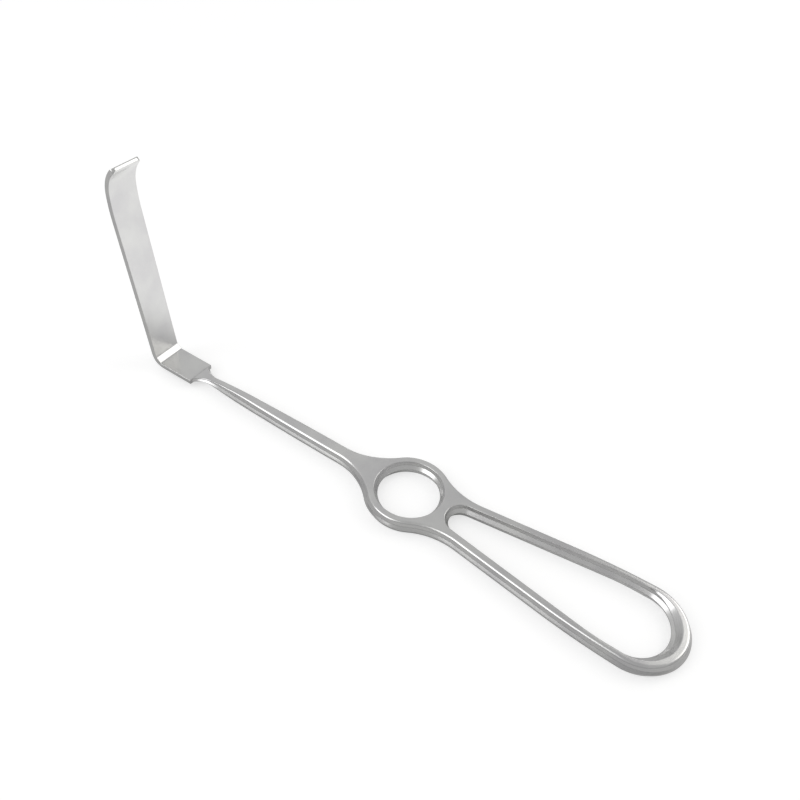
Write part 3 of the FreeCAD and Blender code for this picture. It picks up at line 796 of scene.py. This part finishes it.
@dataclass(frozen=True)
class Blade:
    """The plate, the bend, the blade and its hooked lip: one strip, in millimetres."""

    middle: float = HANDLE_THICK / 2
    thick: float = PLATE_THICK
    thinning: float = 0.2
    edge: float = 0.25
    edge_room: float = 0.45
    # the plate
    root: float = ROOT_REACH
    plate: float = 18.95
    plate_half: float = 5.65
    # the bend, with the flat band inside it
    lean: float = math.radians(7.4)
    inner_cut: float = 1.9
    inner_round: float = 1.0
    outer_round: float = 5.65
    # the blade and the two arcs of its lip
    rise: float = 80.2
    blade_half: float = 6.0
    easy: float = 60.0
    easy_turn: float = math.radians(10.0)
    tight: float = 14.5
    tight_turn: float = math.radians(46.0)
    tip_corner: float = 1.5
    tip_round: float = 0.85
    # the mesh
    tip_steps: int = 10
    edge_steps: int = 3
    round_steps: int = 8
    spacing: float = 0.7

    def faces(self) -> list[tuple[Vector, Vector]]:
        """The strip's two long faces side by side, as pairs of points from the root to the tip.

        Returns:
            Pairs of (front, back) in the plane of symmetry, about the parting plane.
        """
        half = self.thick / 2
        axis, normal = turned(self.lean + math.pi / 2), turned(self.lean)
        corner = Vector((-(self.root + self.plate) + half / math.cos(self.lean), 0.0))
        easy_angle = self.lean - self.easy_turn
        tip_angle = easy_angle - self.tight_turn
        lip_height = (self.easy * (math.sin(self.lean) - math.sin(easy_angle))
                      + self.tight * (math.sin(easy_angle) - math.sin(tip_angle)))
        straight = (self.rise - lip_height) / math.cos(self.lean)
        easy_start = corner + axis * straight
        # The faces of the plate and of the blade meet in inner and outer. A flat band cuts off
        # the inner corner.
        inner = Vector((corner.x + half / math.cos(self.lean) - half * math.tan(self.lean), half))
        outer = Vector((corner.x - half / math.cos(self.lean) + half * math.tan(self.lean), -half))
        root_front, root_back = Vector((-self.root, half)), Vector((-self.root, -half))
        blade_front, blade_back = easy_start + normal * half, easy_start - normal * half
        up = (blade_front - inner).normalized()
        cut = [(*root_front, 0.0), (inner.x + self.inner_cut, half, self.inner_round),
               (*(inner + up * self.inner_cut), self.inner_round), (*blade_front, 0.0)]
        front = rounded(cut, self.round_steps)
        back = rounded([(*root_back, 0.0), (*outer, self.outer_round), (*blade_back, 0.0)],
                       2 * self.round_steps + 1)
        pairs = [(front[0], back[0])] + self.even(front[0], front[1], back[0], back[1])
        pairs += list(zip(front[2:-1], back[2:-1]))
        pairs += self.even(front[-2], front[-1], back[-2], back[-1])
        centre = easy_start + normal * self.easy
        steps = math.ceil(self.easy * self.easy_turn / self.spacing)
        pairs += self.lip_arc(centre, self.easy, self.lean, self.easy_turn,
                              [step / steps for step in range(1, steps + 1)])
        easy_end = centre - turned(easy_angle) * self.easy
        pairs += self.lip_arc(easy_end + turned(easy_angle) * self.tight, self.tight,
                              easy_angle, self.tight_turn, self.tip_shares())
        return pairs

    def tip_shares(self) -> list[float]:
        """Places the stations of the tight arc, closer together towards the tip.

        Returns:
            How far along the arc each stands, as a share of it.
        """
        length = self.tight * self.tight_turn
        body = length - self.tip_corner
        steps = math.ceil(body / self.spacing)
        places = {body * step / steps for step in range(1, steps + 1)}
        for radius in (self.tip_corner, self.tip_round):
            places |= {length - radius * (1 - math.sin(math.pi / 2 * step / self.tip_steps))
                       for step in range(1, self.tip_steps + 1)}
        return [place / length for place in sorted(places)]

    def even(self, front: Vector, front_end: Vector, back: Vector,
             back_end: Vector) -> list[tuple[Vector, Vector]]:
        """Divides a straight stretch evenly.

        Args:
            front: where the front face's stretch starts.
            front_end: where it ends.
            back: where the back face's stretch starts.
            back_end: where it ends.

        Returns:
            Pairs of (front, back), without the start.
        """
        count = math.ceil((front_end - front).length / self.spacing)
        return [(front.lerp(front_end, step / count), back.lerp(back_end, step / count))
                for step in range(1, count + 1)]

    def lip_arc(self, centre: Vector, radius: float, angle: float, turn: float,
                shares: list[float]) -> list[tuple[Vector, Vector]]:
        """Runs along one arc of the lip.

        Args:
            centre: the arc's centre.
            radius: the radius to the middle of the thickness.
            angle: the direction, from the start to the centre.
            turn: the arc's whole turn.
            shares: how far along the arc each pair stands.

        Returns:
            Pairs of (front, back).
        """
        half = self.thick / 2
        spokes = [turned(angle - turn * share) for share in shares]
        return [(centre - spoke * (radius - half), centre - spoke * (radius + half))
                for spoke in spokes]

    def ring(self, front: Vector, back: Vector, half_width: float) -> list[Vector]:
        """The strip's rounded section at one station.

        Args:
            front: the middle of its front face.
            back: the middle of its back face.
            half_width: half of the strip's width there.

        Returns:
            The section's points in order.
        """
        through = (front - back).normalized()
        edge = min(self.edge, self.edge_room * (front - back).length)
        points = []
        for turn, (face, width) in enumerate(((1, 1), (-1, 1), (-1, -1), (1, -1))):
            base = front if face > 0 else back
            for step in range(self.edge_steps + 1):
                angle = math.pi / 2 * (turn + step / self.edge_steps)
                flat = base + through * ((math.cos(angle) - face) * edge)
                side = width * (half_width - edge) + math.sin(angle) * edge
                points.append(Vector((flat.x, side, flat.y + self.middle)))
        return points

    def build(self) -> bpy.types.Object:
        """Models the strip.

        Returns:
            The strip, closed at both ends.
        """
        pairs = self.ground(self.faces())
        tip = halfway(pairs[-1])
        rows = []
        for front, back in pairs:
            middle = halfway((front, back))
            share = (middle.y + self.thick) / (self.rise + 2 * self.thick)
            half_width = self.plate_half + (self.blade_half - self.plate_half) * share
            half_width -= corner_drop(self.tip_corner, (tip - middle).length)
            rows.append(self.ring(front, back, half_width))
        steel = SteelMesh()
        numbers = steel.grid(rows, ring=True)
        steel.faces.append(tuple(reversed(numbers[0])))
        steel.faces.append(tuple(numbers[-1]))
        return steel.build("blade")

    def ground(self, pairs: list[tuple[Vector, Vector]]) -> list[tuple[Vector, Vector]]:
        """Grinds the blade thinner towards its tip, and the tip round.

        Args:
            pairs: the strip's two long faces, as pairs of (front, back).

        Returns:
            The pairs after grinding.
        """
        tip = halfway(pairs[-1])
        eased = []
        for front, back in pairs:
            through = (front - back).normalized()
            share = max(front.y - self.thick, 0.0) / self.rise
            front = front - through * self.thinning * share
            pull = through * corner_drop(self.tip_round, (tip - halfway((front, back))).length)
            eased.append((front - pull, back + pull))
        return eased


@dataclass
class Instrument:
    """The retractor itself: one forged and ground piece."""

    node: str = "retractor"
    steel: SatinSteel = field(default_factory=SatinSteel)
    handle: Handle = field(default_factory=Handle)
    blade: Blade = field(default_factory=Blade)
    smooth_angle: float = math.radians(32.0)
    weld: float = 0.002 * MM

    def build(self) -> list[bpy.types.Object]:
        """Models and dresses the piece.

        Returns:
            The dressed pieces.
        """
        # The handle's root reaches into the plate, and the two become one object.
        handle, blade = self.handle.build(), self.blade.build()
        handle.data.materials.append(self.steel.make(Grain.ALONG_HANDLE))
        blade.data.materials.append(self.steel.make(Grain.ALONG_BLADE))
        handle.select_set(True)
        bpy.context.view_layer.objects.active = handle
        bpy.ops.object.join()
        piece = bpy.context.view_layer.objects.active
        piece.name = "steel_body"
        bpy.ops.object.mode_set(mode="EDIT")
        bpy.ops.mesh.select_all(action="SELECT")
        bpy.ops.mesh.remove_doubles(threshold=self.weld)
        bpy.ops.mesh.normals_make_consistent(inside=False)
        bpy.ops.object.mode_set(mode="OBJECT")
        bpy.ops.object.shade_smooth_by_angle(angle=self.smooth_angle)
        bpy.ops.object.modifier_add(type="WEIGHTED_NORMAL")
        weighted = piece.modifiers[-1]
        weighted.keep_sharp = True
        bpy.ops.object.modifier_apply(modifier=weighted.name)
        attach(piece, ROOT_BODY)
        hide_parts(self.node)
        return [piece]


@dataclass
class Table:
    """The white surface that the instrument lies on. It keeps the shadow and is no part of it."""

    half_size: float = 3.0
    albedo: float = 0.6
    # its own glow before the camera, with more of it far off, where no lamp reaches
    lift: float = 0.58
    far_lift: float = 0.1
    far_edge: tuple[float, float] = (0.3, 1.2)
    # its glow in the steel's reflections, with a painted pool of light on the far side that only
    # reflections see
    mirrored_lift: float = 0.05
    painted_light_pool: float = 0.5
    painted_pool_edge: tuple[float, float] = (6 * MM, 30 * MM)

    def build(self) -> bpy.types.Object:
        """Adds the table.

        Returns:
            The table's object.
        """
        bpy.ops.mesh.primitive_plane_add(size=2 * self.half_size, location=(0, 0, 0))
        table = bpy.context.active_object
        table.name = "table"
        material = bpy.data.materials.new("white_table")
        material.use_nodes = True
        tree = material.node_tree
        tree.nodes.clear()
        shader = Shader(tree)
        path = shader.node("ShaderNodeLightPath")
        seen = shader.number(path.outputs["Is Camera Ray"])
        mirrored = (shader.number(path.outputs["Is Glossy Ray"])
                    + shader.number(path.outputs["Is Transmission Ray"])).clamped()
        place = shader.node("ShaderNodeTexCoord").outputs["Object"]
        across = shader.number(shader.node("ShaderNodeSeparateXYZ", Vector=place).outputs["Y"])
        reach = shader.node("ShaderNodeVectorMath", {"operation": "LENGTH"}, Vector=place)
        distance = shader.number(reach.outputs["Value"])
        lift = distance.ramp(*self.far_edge) * self.far_lift + self.lift
        # Painted reflection: the table glows brighter across its far side, a pool of light that no lamp
        # casts and that only the steel's reflections see.
        pool = across.ramp(*self.painted_pool_edge) * self.painted_light_pool + self.mirrored_lift
        cloth = shader.node("ShaderNodeBsdfDiffuse", Color=(*(self.albedo,) * 3, 1.0))
        glow = shader.node(
            "ShaderNodeEmission", Color=WHITE, Strength=seen * lift + mirrored * pool)
        both = shader.node(
            "ShaderNodeAddShader", slots={0: cloth.outputs["BSDF"], 1: glow.outputs["Emission"]})
        shader.node("ShaderNodeOutputMaterial", Surface=both.outputs["Shader"])
        table.data.materials.append(material)
        return table


@dataclass(frozen=True)
class SoftBox:
    """A square area lamp that points at the instrument, in degrees, metres and watts."""

    name: str
    azimuth: float
    elevation: float
    distance: float
    size: float
    power: float
    color: tuple[float, float, float] = (1.0, 1.0, 1.0)
    aim: tuple[float, float, float] = (-0.01, 0.0, 0.01)

    def build(self) -> bpy.types.Object:
        """Adds the lamp.

        Returns:
            The lamp's object.
        """
        turn, rise = math.radians(self.azimuth), math.radians(self.elevation)
        away = Vector((math.cos(turn) * math.cos(rise), math.sin(turn) * math.cos(rise), math.sin(rise)))
        bpy.ops.object.light_add(type="AREA", location=Vector(self.aim) + away * self.distance)
        lamp = bpy.context.active_object
        lamp.name = self.name
        lamp.data.shape = "SQUARE"
        lamp.data.size = self.size
        lamp.data.energy = self.power
        lamp.data.color = self.color
        lamp.rotation_mode = "QUATERNION"
        lamp.rotation_quaternion = away.to_track_quat("Z", "Y")
        return lamp


@dataclass
class Studio:
    """The light tent round the instrument and the camera that looks into it."""

    # the camera, in degrees and metres
    azimuth: float = 29.895
    elevation: float = 44.631
    roll: float = 5.797
    distance: float = 308.15 * MM
    focal_pixels: float = 799.12
    target: tuple[float, float, float] = (-29.155 * MM, 38.273 * MM, 0.0)
    sensor: float = 36.0
    clip: float = 10 * MM
    # the tent's even light, which is weaker towards +X and at the horizon
    tent: float = 0.62
    tent_dip: float = 0.14
    dip_span: tuple[float, float] = (-0.4, 0.0)
    horizon: float = 0.25
    horizon_span: tuple[float, float] = (0.05, 0.3)
    boxes: tuple[SoftBox, ...] = (
        SoftBox("key_box", -117.2, 38.3, 0.9, 0.7, 2.15),
        SoftBox("window_box", 56.0, 35.0, 0.9, 0.58, 1.45, (1.0, 0.985, 0.955)),
    )

    def build(self) -> None:
        """Adds the camera, the tent's even light and the soft boxes."""
        self.add_camera()
        self.add_tent()
        for box in self.boxes:
            box.build()

    def add_camera(self) -> None:
        """Places the camera where the photograph's camera stood."""
        turn, rise, roll = map(math.radians, (self.azimuth, self.elevation, self.roll))
        back = Vector((math.sin(turn) * math.cos(rise), -math.cos(turn) * math.cos(rise), math.sin(rise)))
        level = (-back).cross(Vector((0.0, 0.0, 1.0))).normalized()
        above = level.cross(-back)
        right = level * math.cos(roll) + above * math.sin(roll)
        up = above * math.cos(roll) - level * math.sin(roll)
        bpy.ops.object.camera_add()
        camera = bpy.context.active_object
        camera.name = "camera"
        camera.data.sensor_width = self.sensor
        camera.data.lens = self.sensor * self.focal_pixels / FRAME_PIXELS
        camera.data.clip_start = self.clip
        axes = Matrix((right, up, back)).transposed().to_4x4()
        camera.matrix_world = Matrix.Translation(Vector(self.target) + back * self.distance) @ axes
        bpy.context.scene.camera = camera

    def add_tent(self) -> None:
        """Makes the world a plain soft tent, and white where the camera sees it."""
        world = bpy.data.worlds.new("tent")
        bpy.context.scene.world = world
        world.use_nodes = True
        tree = world.node_tree
        tree.nodes.clear()
        shader = Shader(tree)
        path = shader.node("ShaderNodeLightPath")
        seen = shader.number(path.outputs["Is Camera Ray"])
        place = shader.node("ShaderNodeTexCoord").outputs["Generated"]
        parts = shader.node("ShaderNodeSeparateXYZ", Vector=place)
        side = shader.number(parts.outputs["X"]).ramp(*self.dip_span)
        height = shader.number(parts.outputs["Z"]).ramp(*self.horizon_span)
        glow = self.horizon + height * (self.tent - self.horizon - side * self.tent_dip)
        strength = glow + seen * (1.0 - glow)
        sky = shader.node("ShaderNodeBackground", Color=WHITE, Strength=strength)
        shader.node("ShaderNodeOutputWorld", Surface=sky.outputs["Background"])


def main() -> None:
    """Builds the dressed instrument, the table, the tent and the camera."""
    logging.basicConfig(level=logging.INFO)
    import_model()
    bpy.context.scene.view_settings.view_transform = "Standard"
    Studio().build()
    for piece in Instrument().build():
        log.info("piece %s, %d faces", piece.name, len(piece.data.polygons))
    Table().build()


if __name__ == "__main__":
    main()
